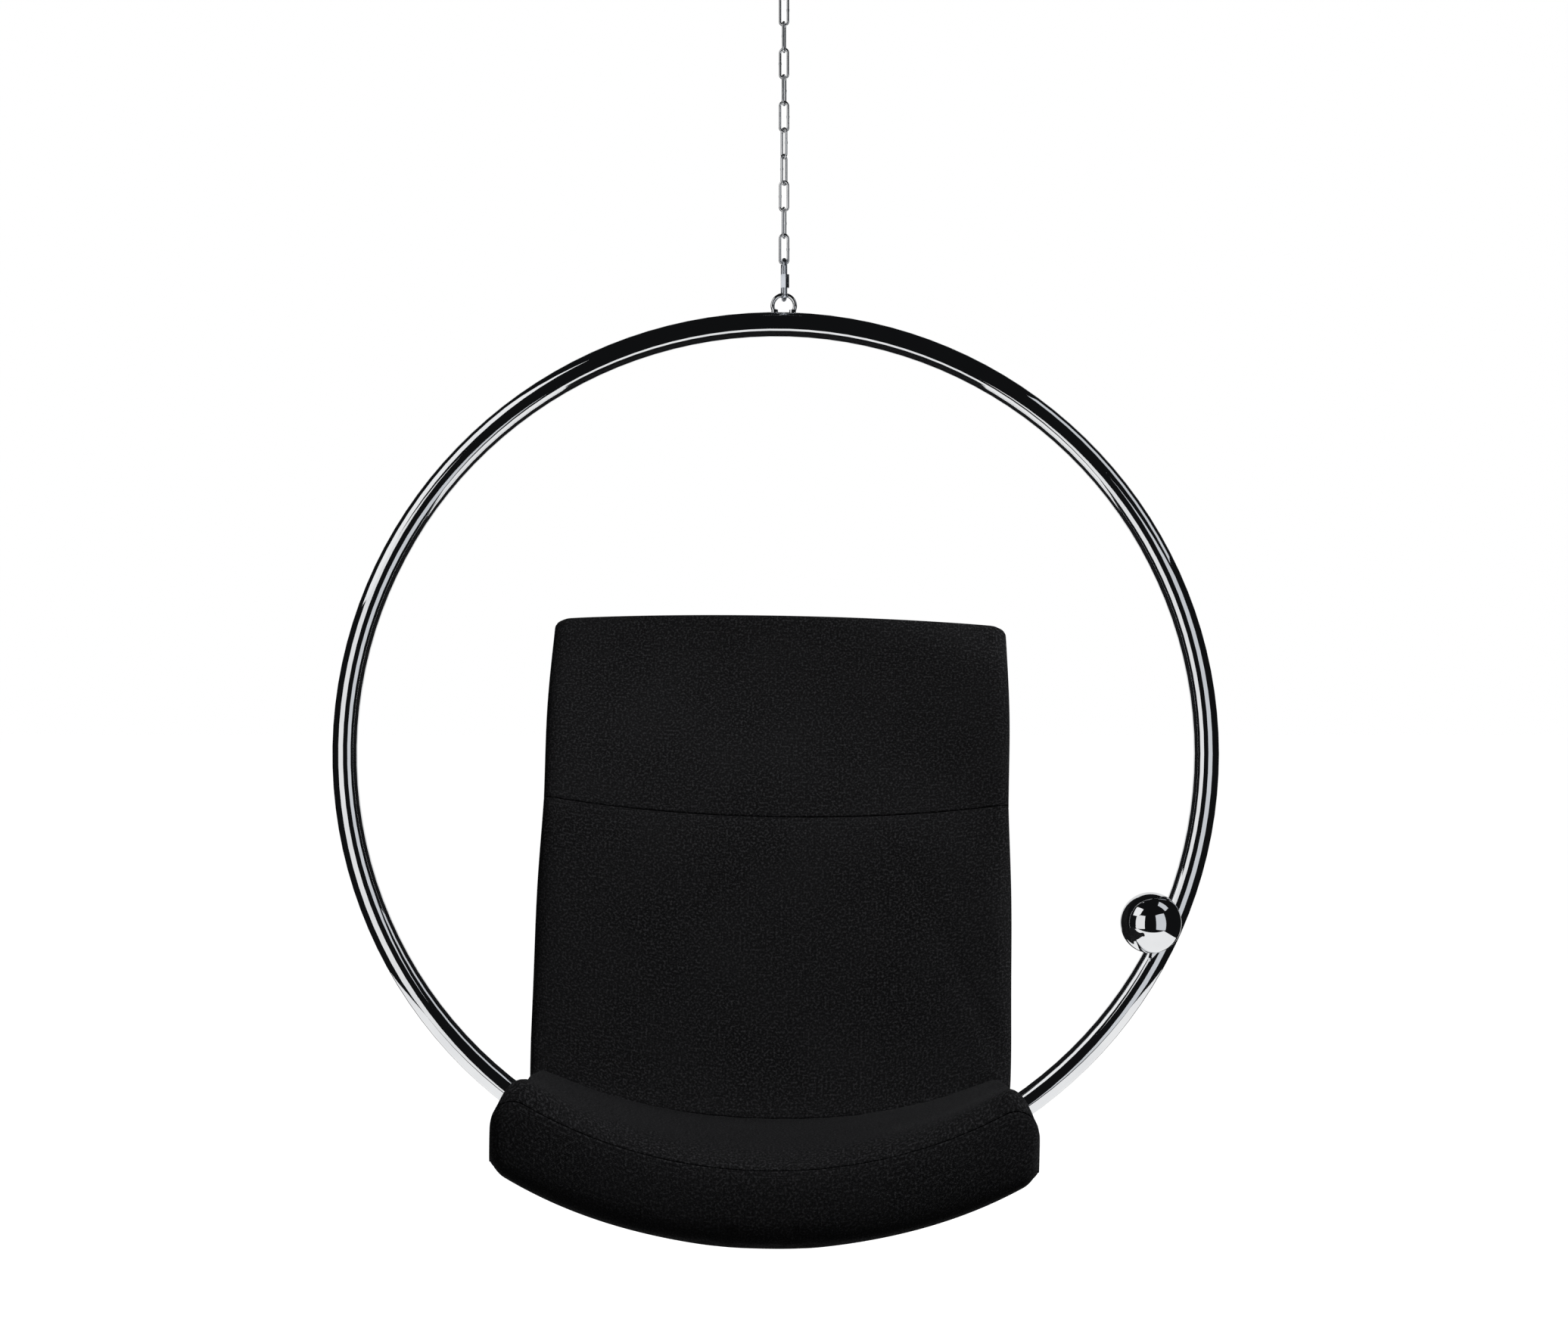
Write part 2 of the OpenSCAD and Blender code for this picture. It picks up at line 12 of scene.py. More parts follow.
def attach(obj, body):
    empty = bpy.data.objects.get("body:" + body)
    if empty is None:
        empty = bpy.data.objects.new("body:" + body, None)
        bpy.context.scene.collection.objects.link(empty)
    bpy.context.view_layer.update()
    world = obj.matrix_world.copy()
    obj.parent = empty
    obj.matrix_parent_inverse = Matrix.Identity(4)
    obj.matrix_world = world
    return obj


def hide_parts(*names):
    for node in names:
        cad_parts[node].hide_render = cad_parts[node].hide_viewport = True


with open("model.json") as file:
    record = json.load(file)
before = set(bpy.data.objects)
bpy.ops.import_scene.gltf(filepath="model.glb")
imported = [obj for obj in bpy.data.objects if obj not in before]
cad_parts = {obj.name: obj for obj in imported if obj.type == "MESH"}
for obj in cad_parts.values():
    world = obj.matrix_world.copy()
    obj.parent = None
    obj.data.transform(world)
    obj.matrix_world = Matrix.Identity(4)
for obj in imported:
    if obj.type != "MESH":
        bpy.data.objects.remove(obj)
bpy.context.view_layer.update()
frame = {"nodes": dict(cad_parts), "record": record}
nodes = frame["nodes"]
MM = 0.001

# ---------------------------------------------------------------- camera
PHOTO_W = 2072
SENSOR = 36.0
FOCAL_PX = 3421
EYE = (0, -3.3664, -1.0200)
camera_data = bpy.data.cameras.new("camera")
camera_data.sensor_width = SENSOR
camera_data.lens = FOCAL_PX * SENSOR / PHOTO_W
camera_data.clip_end = 200
camera = bpy.data.objects.new("camera", camera_data)
camera.location = EYE
camera.rotation_euler = (math.radians(90), 0, 0)
bpy.context.scene.collection.objects.link(camera)
bpy.context.scene.camera = camera


# ---------------------------------------------------------------- materials
class Nodes:
    """A material's node tree, built by name."""

    def __init__(self, name):
        self.material = bpy.data.materials.new(name)
        self.material.use_nodes = True
        self.tree = self.material.node_tree
        self.shader = self.tree.nodes["Principled BSDF"]

    def add(self, kind, **values):
        node = self.tree.nodes.new("ShaderNode" + kind)
        for key, value in values.items():
            if hasattr(node, key):
                setattr(node, key, value)
            else:
                node.inputs[key.replace("_", " ")].default_value = value
        return node

    def link(self, source, node, socket):
        self.tree.links.new(source, node.inputs[socket])

    def math(self, operation, a, b=0.0):
        node = self.add("Math", operation=operation)
        for slot, value in enumerate((a, b)):
            if isinstance(value, (int, float)):
                node.inputs[slot].default_value = value
            else:
                self.tree.links.new(value, node.inputs[slot])
        return node.outputs[0]

    def mapped(self, value, low, high, to_low, to_high):
        node = self.add("MapRange")
        self.link(value, node, "Value")
        ends = (("From Min", low), ("From Max", high), ("To Min", to_low), ("To Max", to_high))
        for key, number in ends:
            node.inputs[key].default_value = number
        return node.outputs[0]

    def noise(self, scale, detail=3.0, vector=None, roughness=0.5):
        node = self.add("TexNoise", Scale=scale, Detail=detail, Roughness=roughness)
        self.link(vector or self.place(), node, "Vector")
        return node.outputs["Fac"]

    def place(self):
        return self.add("TexCoord").outputs["Object"]

    def bump(self, height, distance, strength=1.0, under=None):
        node = self.add("Bump", Distance=distance, Strength=strength)
        self.link(height, node, "Height")
        if under:
            self.link(under, node, "Normal")
        self.link(node.outputs[0], self.shader, "Normal")
        return node.outputs[0]

    def mix_colour(self, share, a, b):
        node = self.add("Mix", data_type="RGBA")
        self.link(share, node, "Factor")
        for slot, value in ((6, a), (7, b)):
            if isinstance(value, tuple):
                node.inputs[slot].default_value = (*value, 1)
            else:
                self.tree.links.new(value, node.inputs[slot])
        return node.outputs[2]

    def set(self, **values):
        for key, value in values.items():
            self.shader.inputs[key.replace("_", " ")].default_value = value


def plated_metal(name, colour, dark, rough_low, rough_high, scratch, ripple=0.0):
    """Polished or plated metal: faint cloudiness, fine polishing lines and a little bloom."""
    m = Nodes(name)
    cloud = m.noise(18, 4)
    m.link(m.mix_colour(m.mapped(cloud, 0.35, 0.75, 0, 1), colour, dark), m.shader, "Base Color")
    fine = m.noise(420, 2)
    bloom = m.mapped(cloud, 0.3, 0.8, rough_low, rough_high)
    rough = m.math("ADD", bloom, m.mapped(fine, 0.55, 0.8, 0, scratch))
    m.link(rough, m.shader, "Roughness")
    m.set(Metallic=1.0)
    if ripple:
        m.bump(m.noise(60, 2), 0.0004, ripple)
    return m.material


def turned_metal(name, colour, dark, rough, axis_scale):
    """Turned or drawn metal, with fine lines round its axis."""
    m = Nodes(name)
    stretch = m.add("Mapping")
    stretch.inputs["Scale"].default_value = axis_scale
    m.link(m.place(), stretch, "Vector")
    lines = m.noise(1.0, 4, stretch.outputs[0], 0.7)
    m.link(m.mix_colour(m.mapped(lines, 0.35, 0.7, 0, 1), colour, dark), m.shader, "Base Color")
    m.link(m.mapped(lines, 0.3, 0.7, rough - 0.06, rough + 0.08), m.shader, "Roughness")
    m.set(Metallic=1.0)
    m.bump(lines, 0.00006, 0.5)
    return m.material


def woven_cloth(name, colour, fleck, pitch):
    """Fine wool-like plain weave, on the attribute "weave", which runs along the cloth in metres."""
    m = Nodes(name)
    yarn_wander = 0.0011
    where = m.add("Attribute", attribute_name="weave").outputs["Vector"]
    wander = m.add("TexNoise", Scale=90.0, Detail=2.0)
    m.link(where, wander, "Vector")
    shift = m.add("VectorMath", operation="SUBTRACT")
    m.link(wander.outputs["Color"], shift, 0)
    shift.inputs[1].default_value = (0.5, 0.5, 0.5)
    small = m.add("VectorMath", operation="SCALE")
    m.link(shift.outputs[0], small, 0)
    small.inputs["Scale"].default_value = yarn_wander
    bent = m.add("VectorMath", operation="ADD")
    m.link(where, bent, 0)
    m.link(small.outputs[0], bent, 1)
    split = m.add("SeparateXYZ")
    m.link(bent.outputs[0], split, 0)
    turn = math.pi / pitch
    warp = m.math("SINE", m.math("MULTIPLY", split.outputs["X"], turn))
    weft = m.math("SINE", m.math("MULTIPLY", split.outputs["Y"], turn))
    over = m.math("MULTIPLY", warp, weft)
    yarn_x = m.math("ABSOLUTE", warp)
    yarn_y = m.math("ABSOLUTE", weft)
    cross = m.mapped(over, -0.25, 0.25, 0, 1)
    thread = m.math(
        "ADD",
        m.math("MULTIPLY", cross, yarn_x),
        m.math("MULTIPLY", m.math("SUBTRACT", 1.0, cross), yarn_y),
    )
    fibre = m.noise(2600, 3, where, 0.7)
    slub = m.noise(330, 3, where, 0.6)
    patch = m.noise(9, 3, where)
    height = m.math("ADD", thread, m.math("MULTIPLY", fibre, 0.8))
    # Painted shade: the gaps of the weave get 0.15 times the yarn colour, darkest where the thread height that
    # also drives the bump is lowest.
    between = tuple(c * 0.15 for c in colour)
    pale = tuple(c * 1.7 for c in colour)
    # Painted shade in the weave's hollows: the yarn colour on the yarn tops, fading to the dark gap colour down
    # in the gaps.
    base = m.mix_colour(m.mapped(thread, 0.15, 0.95, 0, 1), between, colour)
    flecked = m.mix_colour(m.mapped(slub, 0.48, 0.70, 0, 0.9), base, fleck)
    worn = m.mix_colour(m.mapped(patch, 0.35, 0.75, 0, 0.35), flecked, pale)
    m.link(worn, m.shader, "Base Color")
    m.link(m.mapped(fibre, 0.3, 0.7, 0.86, 1.0), m.shader, "Roughness")
    m.set(Sheen_Weight=0.04, Sheen_Roughness=0.25, Specular_IOR_Level=0.03)
    m.shader.inputs["Sheen Tint"].default_value = (0.85, 0.86, 0.9, 1)
    m.bump(height, 0.0008, 0.6)
    return m.material


def satin_black(name, colour, rough, grain):
    """Stained plywood or rubber: a matt black with fine grain."""
    m = Nodes(name)
    stretch = m.add("Mapping")
    stretch.inputs["Scale"].default_value = grain
    m.link(m.place(), stretch, "Vector")
    lines = m.noise(1.0, 5, stretch.outputs[0], 0.65)
    light = tuple(c * 2.2 for c in colour)
    m.link(m.mix_colour(m.mapped(lines, 0.35, 0.7, 0, 1), colour, light), m.shader, "Base Color")
    m.link(m.mapped(lines, 0.3, 0.7, rough - 0.08, rough + 0.1), m.shader, "Roughness")
    m.bump(lines, 0.0002, 0.4)
    return m.material


chrome = plated_metal("polished_chrome", (0.83, 0.84, 0.85), (0.76, 0.77, 0.79), 0.015, 0.045, 0.05)
chain_chrome = plated_metal("chain_chrome", (0.86, 0.87, 0.88), (0.74, 0.75, 0.77), 0.05, 0.12, 0.10, 0.25)
zinc = plated_metal("zinc_plate", (0.70, 0.73, 0.78), (0.55, 0.58, 0.63), 0.13, 0.26, 0.16, 0.5)
bronze = turned_metal("bronze", (0.66, 0.48, 0.25), (0.47, 0.33, 0.17), 0.3, (300, 300, 3000))
WEAVE_PITCH = 0.0019
cloth = woven_cloth("black_cloth", (0.016, 0.016, 0.017), (0.070, 0.070, 0.074), WEAVE_PITCH)
shell_black = satin_black("black_shell", (0.018, 0.018, 0.018), 0.42, (40, 900, 900))
rubber = satin_black("black_rubber", (0.022, 0.022, 0.022), 0.75, (500, 500, 500))
thread = satin_black("black_thread", (0.012, 0.012, 0.013), 0.7, (3000, 3000, 3000))

FINISH = {
    "polished_chrome": chrome,
    "chain_chrome": chain_chrome,
    "zinc_plate": zinc,
    "bronze": bronze,
    "black_rubber": rubber,
    "black_shell": shell_black,
    "black_cloth": cloth,
}


def paint(obj, material):
    obj.data.materials.clear()
    obj.data.materials.append(material)


for part in frame["record"]["subparts"]:
    paint(nodes[part["node"]], FINISH[part["material_slot"]])

# ---------------------------------------------------------------- seat surface
# The seat's rows repeat the CAD source's, in millimetres: depth and height of the padding's face and of the
# shell's face, forward lean of the side edges, rise of both faces' side edges as a share of the ring's, droop
# of the shoulders, narrowing.
ROWS = np.array([
    (-238, -73, -254, -64, 0, 0.79, 0.79, 0, 0),
    (-262, -72, -254, -59, 0, 0.79, 0.79, 0, 0),
    (-275, -60, -254, -50, 0, 0.79, 0.79, 0, 0),
    (-279, -15, -254, -18, 0, 0.82, 0.82, 10, 0),
    (-277, 18, -250, 2, 0, 0.86, 0.85, 32, 1),
    (-263, 31, -238, 13, 0, 0.97, 0.92, 60, 1),
    (-236, 34, -216, 15, 0, 0.97, 0.91, 55, 2),
    (-170, 38, -170, 14, 0, 0.85, 0.89, 18, 10),
    (-105, 42, -105, 13, 0, 0.80, 0.93, 12, 17),
    (-45, 45, -45, 12, 0, 0.77, 1, 0, 18),
    (0, 46, 0, 12, 0, 0.76, 1, 0, 18),
    (45, 47, 45, 12, 0, 0.75, 1, 0, 18),
    (95, 49, 110, 16, -2, 0.66, 0.84, 0, 12),
    (137, 53, 162, 30, -6, 0.53, 0.62, 0, 3),
    (155, 90, 194, 76, -12, 0.48, 0.50, 0, 0),
    (172, 170, 214, 164, -20, 0.40, 0.40, 0, 0),
    (194, 310, 236, 304, -27, 0.30, 0.30, 0, 0),
    (218, 452, 260, 445, -30, 0.20, 0.20, 0, 3),
    (262, 600, 300, 588, -27, 0.06, 0.06, 0, 0),
    (309, 722, 344, 708, -21, -0.10, -0.10, 0, 1),
    (317, 741, 349, 722, -20, -0.12, -0.12, 0, 2),
], float)
LAST = len(ROWS) - 1
FRONT_SEAM, BACK_SEAM, HEAD_SEAM = 4, 13, 17
SEAT_R, SHELL_T, COVER_T, HALF_W = 530.0, 12.0, 3.0, 317.0
PAD_ROUND, PAD_GAP, SHOULDER_W, COVER_MARGIN = 13.0, 0.3, 40.0, 12.0
EDGE_SHARE = 0.8
EDGE = 18.0
SHARP = math.radians(45)
RING_SAG = SEAT_R - math.sqrt(SEAT_R**2 - HALF_W**2)
HANG = Euler((math.radians(-6.5), math.radians(1.05), math.radians(-0.6)), "XYZ")
PIVOT = Vector((0, 0, -0.53225))
PIVOT_UP = 0.5882
to_seat = Matrix.Translation((0, 0, -PIVOT_UP - SEAT_R * MM))
seat_frame = Matrix.Translation(PIVOT) @ HANG.to_matrix().to_4x4() @ to_seat


def seat_row(s):
    """The rows' values at stations s, by the same cubic as the CAD source's."""
    s = np.asarray(s, float)
    i = np.clip(np.floor(s).astype(int), 0, LAST - 1)
    t = (s - i)[..., None]
    a, b, c, d = (ROWS[np.clip(i + k, 0, LAST)] for k in (-1, 0, 1, 2))
    square = a - 2.5 * b + 2 * c - d / 2
    cube = 1.5 * (b - c) + (d - a) / 2
    return b + t * (c - a) / 2 + t**2 * square + t**3 * cube


def arc_share(x, depth=0.0):
    """The ring's rise at a distance from the middle, as a share of its rise at the seat's side."""
    r = SEAT_R - SHELL_T + depth
    return (r - np.sqrt(r * r - x * x)) / RING_SAG


def droop(x):
    """Share of the shoulders' droop, over the last of the width."""
    return (np.maximum(0, np.abs(x) - (HALF_W - SHOULDER_W)) / SHOULDER_W) ** 2


def edge_drop(x, r):
    """Depth of a rounded edge of radius r."""
    over = np.clip(np.abs(x) - (HALF_W - r), 0, r)
    return r - np.sqrt(np.maximum(0, r * r - over * over))


def pad_point(s, x, edge=PAD_ROUND):
    """Points on the padding's face, in seat millimetres."""
    row = seat_row(s)
    side = x * (1 - row[..., 8] / HALF_W)
    rise = arc_share(side) * row[..., 5] * RING_SAG - droop(x) * row[..., 7]
    run_y, run_z = row[..., 2] - row[..., 0], row[..., 3] - row[..., 1]
    share = np.minimum(EDGE_SHARE, edge_drop(x, edge) / np.hypot(run_y, run_z))
    y = row[..., 0] + run_y * share + arc_share(side) * row[..., 4]
    z = row[..., 1] + run_z * share + rise
    return np.stack((side, y, z), -1)


def shell_point(s, x, depth):
    """Points at a depth below the shell's face, in seat millimetres."""
    row = seat_row(s)
    a = seat_row(np.maximum(0, np.asarray(s) - 0.1))
    b = seat_row(np.minimum(LAST, np.asarray(s) + 0.1))
    run = np.stack((b[..., 3] - a[..., 3], a[..., 2] - b[..., 2]), -1)
    run /= np.linalg.norm(run, axis=-1, keepdims=True)
    side = x * (1 - row[..., 8] / HALF_W)
    share = arc_share(side, depth)
    return np.stack((
        side,
        row[..., 2] + run[..., 0] * depth + share * row[..., 4],
        row[..., 3] + run[..., 1] * depth + share * row[..., 6] * RING_SAG - droop(x) * row[..., 7],
    ), -1)


def run_lengths(line):
    """Length along a line of points up to each point."""
    return np.concatenate(([0], np.cumsum(np.linalg.norm(np.diff(line, axis=0), axis=1))))


def arc_length(s, face):
    """Length along the middle of a face up to each station, in millimetres, and the table it is read from."""
    fine = np.linspace(0, LAST, 4001)
    line = face(fine, np.zeros_like(fine))
    length = run_lengths(line)
    return np.interp(s, fine, length), fine, length


def stations(s0, s1, step, face, near=(), ladder=()):
    """Stations about step millimetres apart, and on the ladder's distances from the ends listed in near."""
    (l0, l1), fine, length = arc_length([s0, s1], face)
    marks = list(np.linspace(l0, l1, max(2, round((l1 - l0) / step)) + 1))
    for end, sign in near:
        base = l0 if end == s0 else l1
        marks = [m for m in marks if abs(m - base) > ladder[-1] + step / 3]
        marks += [base + sign * d for d in ladder]
    return np.interp(sorted(marks), length, fine)


def smooth_step(t):
    return t * t * (3 - 2 * t)


def top_end(s, grid):
    """Rounds the head pad's free top edge, square in the CAD, and lifts it by what the rounding takes."""
    lift, lift_run, r = 6.0, 60.0, 14.0
    along_back = np.array([0, 0.39, 0.92])
    rearward = np.array([0, 0.86, -0.51])
    lengths, _, _ = arc_length(np.concatenate((s, [LAST])), pad_point)
    left = lengths[-1] - lengths[:-1]
    rise = lift * smooth_step(np.clip(1 - left / lift_run, 0, 1))
    grid = grid + rise[:, None, None] * along_back
    t = np.clip(r - left, 0, r)
    drop = r - np.sqrt(np.maximum(0, r * r - t * t))
    grid = grid + drop[:, None, None] * rearward
    grid[..., 0] *= (1 - drop / HALF_W)[:, None]
    return grid


def closed_grid(n, c):
    """Faces of a closed form: a grid of n by c points, the same grid behind it, and its four sides."""
    size = n * c
    a = (np.arange(n - 1)[:, None] * c + np.arange(c - 1)[None, :]).ravel()
    left = np.arange(n - 1) * c
    right = left + c - 1
    first = np.arange(c - 1)
    last = (n - 1) * c + first
    return np.concatenate((
        np.stack((a, a + 1, a + c + 1, a + c), -1),
        np.stack((a + size, a + c + size, a + c + 1 + size, a + 1 + size), -1),
        np.stack((left, left + c, left + c + size, left + size), -1),
        np.stack((right, right + size, right + c + size, right + c), -1),
        np.stack((first, first + size, first + 1 + size, first + 1), -1),
        np.stack((last, last + 1, last + 1 + size, last + size), -1),
    ))


def crown_by_cloth():
    """The padding as one closed form, swelled as stuffed cloth that is sewn down at the seams and held to
    the shell. Returns the stations and columns it is on, and each point's move, in seat millimetres."""
    spacing, frames, most = 9.0, 20, 5.0
    seams = (0, FRONT_SEAM, BACK_SEAM, HEAD_SEAM, LAST)
    rows = []
    for s0, s1 in zip(seams, seams[1:]):
        rows += list(stations(s0, s1, spacing, pad_point))[:-1]
    rows = np.array(rows + [LAST])
    flat = np.linspace(-(HALF_W - EDGE), HALF_W - EDGE, 67)
    bend = (HALF_W - EDGE) + EDGE * np.sin(np.radians([30, 60, 90]))
    cols = np.concatenate((-bend[::-1], flat, bend))
    face = pad_point(rows[:, None], cols[None, :], EDGE)
    back = shell_point(rows[:, None], cols[None, :], -PAD_GAP)
    n, c = len(rows), len(cols)
    size = n * c
    points = np.concatenate((face.reshape(-1, 3), back.reshape(-1, 3))) * MM
    mesh = bpy.data.meshes.new("swell")
    mesh.from_pydata(points.tolist(), [], closed_grid(n, c).tolist())
    body = bpy.data.objects.new("swell", mesh)
    bpy.context.scene.collection.objects.link(body)
    fixed = list(range(size, 2 * size))
    for seam in seams:
        k = int(np.argmin(np.abs(rows - seam)))
        fixed += list(range(k * c, k * c + c))
    pins = body.vertex_groups.new(name="sewn")
    pins.add([int(v) for v in fixed], 1.0, "REPLACE")
    cloth_mod = body.modifiers.new("Cloth", "CLOTH")
    settings = cloth_mod.settings
    settings.quality = 6
    settings.mass = 0.4
    settings.tension_stiffness = 22
    settings.compression_stiffness = 8
    settings.shear_stiffness = 8
    settings.bending_stiffness = 1.2
    settings.use_pressure = True
    settings.uniform_pressure_force = 4.0
    settings.vertex_group_mass = "sewn"
    settings.effector_weights.gravity = 0
    cloth_mod.collision_settings.use_collision = False
    cloth_mod.point_cache.frame_start = 1
    cloth_mod.point_cache.frame_end = frames
    for f in range(1, frames + 1):
        bpy.context.scene.frame_set(f)
    shaped = body.evaluated_get(bpy.context.evaluated_depsgraph_get())
    after = np.zeros(len(shaped.data.vertices) * 3)
    shaped.data.vertices.foreach_get("co", after)
    move = after.reshape(-1, 3)[:size].reshape(n, c, 3) / MM - face
    bpy.data.objects.remove(body)
    bpy.data.meshes.remove(mesh)
    bpy.context.scene.frame_set(1)
    length = np.linalg.norm(move, axis=-1, keepdims=True)
    move *= np.tanh(length / most) * most / np.maximum(length, 1e-6)
    return rows, cols, move


def swelled(s, x, field):
    """The cloth's move at stations and columns, by straight lines between the simulated points."""
    rows, cols, move = field
    i = np.clip(np.searchsorted(rows, s) - 1, 0, len(rows) - 2)
    j = np.clip(np.searchsorted(cols, x) - 1, 0, len(cols) - 2)
    u = ((s - rows[i]) / (rows[i + 1] - rows[i]))[:, None, None]
    v = ((x - cols[j]) / (cols[j + 1] - cols[j]))[None, :, None]
    near = (1 - v) * move[np.ix_(i, j)] + v * move[np.ix_(i, j + 1)]
    far = (1 - v) * move[np.ix_(i + 1, j)] + v * move[np.ix_(i + 1, j + 1)]
    return (1 - u) * near + u * far


def face_normals(grid):
    """Outward unit normals of a grid of points, along its stations and columns."""
    along, across = np.gradient(grid, axis=0), np.gradient(grid, axis=1)
    n = np.cross(across, along)
    return n / np.maximum(np.linalg.norm(n, axis=-1, keepdims=True), 1e-9)


def across_ring(ring, top, low):
    """Triangles between two chains of a ring's points, both from left to right, so that an end stays flat."""
    i = 0
    j = 0
    faces = []
    while i < len(top) - 1 or j < len(low) - 1:
        if j == len(low) - 1 or (i < len(top) - 1 and ring[top[i + 1], 0] <= ring[low[j + 1], 0]):
            faces.append((top[i], top[i + 1], low[j]))
            i += 1
        else:
            faces.append((top[i], low[j + 1], low[j]))
            j += 1
    return faces


def ring_loft(name, rings, weave, caps=None):
    """Closed form through rings of points, in seat millimetres, carrying the weave's own coordinates."""
    n, c = rings.shape[:2]
    i, j = np.arange(n - 1)[:, None] * c, np.arange(c)[None, :]
    k = (j + 1) % c
    quads = np.stack((i + j, i + c + j, i + c + k, i + k), -1).reshape(-1, 4).tolist()
    if caps:
        quads += caps(rings[0])
        quads += [tuple(v + (n - 1) * c for v in reversed(f)) for f in caps(rings[-1])]
    mesh = bpy.data.meshes.new(name)
    mesh.from_pydata((rings.reshape(-1, 3) * MM).tolist(), [], quads)
    mesh.transform(seat_frame)
    mesh.validate()
    mesh.shade_smooth()
    mesh.set_sharp_from_angle(angle=SHARP)
    held = mesh.attributes.new("weave", "FLOAT_VECTOR", "POINT")
    held.data.foreach_set("vector", (weave.reshape(-1, 3) * MM).ravel())
    obj = bpy.data.objects.new(name, mesh)
    bpy.context.scene.collection.objects.link(obj)
    fix_normals(obj)
    return obj


def fix_normals(obj):
    b = bmesh.new()
    b.from_mesh(obj.data)
    bmesh.ops.recalc_face_normals(b, faces=b.faces)
    b.to_mesh(obj.data)
    b.free()


# ---------------------------------------------------------------- upholstery
SEAM_ROLL = 2.4
LADDER = (0.15, 0.45, 0.9, 1.5, 2.3, 3.4)
SHELL_HALF = HALF_W - PAD_ROUND
WRAP_T = 1.2
SKIN_GAP = 0.2
EDGE_GAP = 0.4
UNDER = 15
UNDER_INSET = 12
SEAMS = (FRONT_SEAM, BACK_SEAM, HEAD_SEAM)
PANEL_STEP = 4.0
flat_columns = np.linspace(-(HALF_W - EDGE), HALF_W - EDGE, 151)
bend_columns = (HALF_W - EDGE) + EDGE * np.sin(np.radians(np.arange(10, 91, 10)))
face_columns = np.concatenate((-bend_columns[::-1], flat_columns, bend_columns))


def side_points(s, side, edge_point):
    """The padding's side: from its face's edge round the shell's edge, in under it, and back over the shell."""
    edge_bulge, tuck = 1.2, 11

    def here(x, depth):
        return shell_point(s, np.full_like(s, side * x), depth)

    low = here(HALF_W, SHELL_T / 2)
    points = []
    for t in (0.2, 0.4, 0.6, 0.8, 1.0):
        p = edge_point + (low - edge_point) * t
        p[:, 0] += side * edge_bulge * math.sin(math.pi * t)
        points.append(p)
    points += [
        here(HALF_W - 1.2, SHELL_T - 2),
        here(HALF_W - 4, SHELL_T + WRAP_T / 2),
        here(HALF_W - 8, SHELL_T + WRAP_T),
        here(SHELL_HALF - 6, SHELL_T + WRAP_T),
        here(SHELL_HALF - tuck, SHELL_T + WRAP_T),
        here(SHELL_HALF - tuck, SHELL_T + SKIN_GAP),
        here(SHELL_HALF + EDGE_GAP, SHELL_T + SKIN_GAP),
        here(SHELL_HALF + EDGE_GAP, -PAD_GAP),
    ]
    return np.stack(points, 1)


def panel_end(ring):
    """Faces across a panel's end: the padding over the shell, and the wraps round the shell's two edges."""
    m, c = len(face_columns), len(ring)
    side = (c - m - UNDER) // 2
    right = list(range(m, m + side))
    under = list(range(m + side, m + side + UNDER))
    left = list(range(c - side, c))
    low = left[:-6:-1] + [left[0]] + under[::-1] + [right[-1]] + right[4::-1]
    return across_ring(ring, list(range(m)), low) + [tuple(right[4:]), tuple(left[: side - 4])]


def across_and_along(run, length):
    """The weave's coordinates on rings: across the cloth, and along it."""
    return np.stack((run, np.broadcast_to(length[:, None], run.shape), np.zeros_like(run)), -1)


def panel(name, node, s0, s1, field):
    """One upholstered panel: a closed form whose face rolls into the seams at its ends. Returns its face."""
    near = [(s0, 1)] * (s0 in SEAMS) + [(s1, -1)] * (s1 in SEAMS)
    s = stations(s0, s1, PANEL_STEP, pad_point, near, LADDER)
    face = pad_point(s[:, None], face_columns[None, :], EDGE)
    face += swelled(s, face_columns, field)
    if s1 == LAST:
        face = top_end(s, face)
    out = face_normals(face)
    (l0, l1), _, _ = arc_length([s0, s1], pad_point)
    length = np.interp(s, *arc_length([0], pad_point)[1:])
    roll = np.zeros_like(s)
    for end, base in ((s0, l0), (s1, l1)):
        if end in SEAMS:
            t = np.clip(SEAM_ROLL - np.abs(length - base), 0, SEAM_ROLL)
            roll += SEAM_ROLL - np.sqrt(SEAM_ROLL**2 - t * t)
    face -= out * roll[:, None, None]
    right = side_points(s, 1, face[:, -1])
    left = side_points(s, -1, face[:, 0])
    across = np.linspace(SHELL_HALF - UNDER_INSET, -(SHELL_HALF - UNDER_INSET), UNDER)
    under = shell_point(s[:, None], across[None, :], -PAD_GAP)
    rings = np.concatenate((face, right, under, left[:, ::-1]), 1)
    middle = len(face_columns) // 2
    steps = np.linalg.norm(np.diff(rings, axis=1, append=rings[:, :1]), axis=-1)
    run = np.cumsum(steps, axis=1)
    run = run - run[:, middle : middle + 1]
    wrap = run.shape[1] - left.shape[1]
    run[:, wrap:] -= steps.sum(1)[:, None]
    obj = ring_loft(name, rings, across_and_along(run, length), panel_end)
    paint(obj, cloth)
    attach(obj, "swing")
    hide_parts(node)
    return face


def along_line(marks, lengths, values):
    return np.stack([np.interp(marks, lengths, values[:, k]) for k in range(3)], -1)


def unit(v):
    return v / np.linalg.norm(v, axis=1, keepdims=True)


